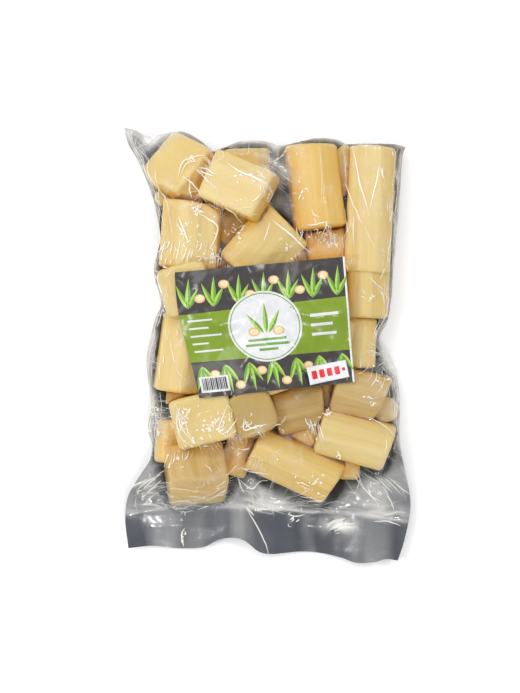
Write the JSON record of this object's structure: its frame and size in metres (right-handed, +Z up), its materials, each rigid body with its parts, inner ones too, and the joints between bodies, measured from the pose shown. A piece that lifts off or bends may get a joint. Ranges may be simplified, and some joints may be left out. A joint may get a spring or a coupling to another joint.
{
  "type": "sealed pouch of peeled sugarcane pieces",
  "caption": "Short peeled lengths of sugarcane in a sealed pouch of clear film over dark film, lying flat, with a draped paper label and a small price sticker.",
  "frame": {"origin": "under the middle of the pouch, on the surface it lies on", "axes": "+X across the pouch towards the label's right, +Y along it towards the narrow top margin, +Z up out of its clear face"},
  "size_m": [0.1896, 0.288, 0.055],
  "materials": {
    "cane": "fresh peeled cane: straw to honey yellow, lengthwise fibres, satin and slightly moist",
    "clear_film": "thin clear film, glossy, finely wrinkled by the vacuum",
    "dark_film": "thin slate-dark film, glossy",
    "label_paper": "coated paper, charcoal and leaf green print, semi-gloss",
    "sticker_paper": "white coated paper"
  },
  "bodies": {
    "root": {"cane_foot_left": "cane", "cane_foot_long": "cane", "cane_foot_right": "cane", "cane_label_1": "cane", "cane_label_2": "cane", "cane_label_3": "cane", "cane_label_4": "cane", "cane_label_5": "cane", "cane_label_6": "cane", "cane_left_label": "cane", "cane_left_long": "cane", "cane_left_stout": "cane", "cane_left_under": "cane", "cane_low_middle": "cane", "cane_low_round": "cane", "cane_low_short": "cane", "cane_low_stout": "cane", "cane_low_under": "cane", "cane_middle_slope": "cane", "cane_middle_under": "cane", "cane_right_label": "cane", "cane_right_short": "cane", "cane_right_under": "cane", "cane_top_block": "cane", "cane_top_broad": "cane", "cane_top_left": "cane", "cane_top_long": "cane", "cane_top_middle": "cane", "cane_top_under": "cane", "film_back": "dark_film", "film_front": "clear_film", "label": "label_paper", "price_sticker": "sticker_paper"}
  },
  "joints": []
}
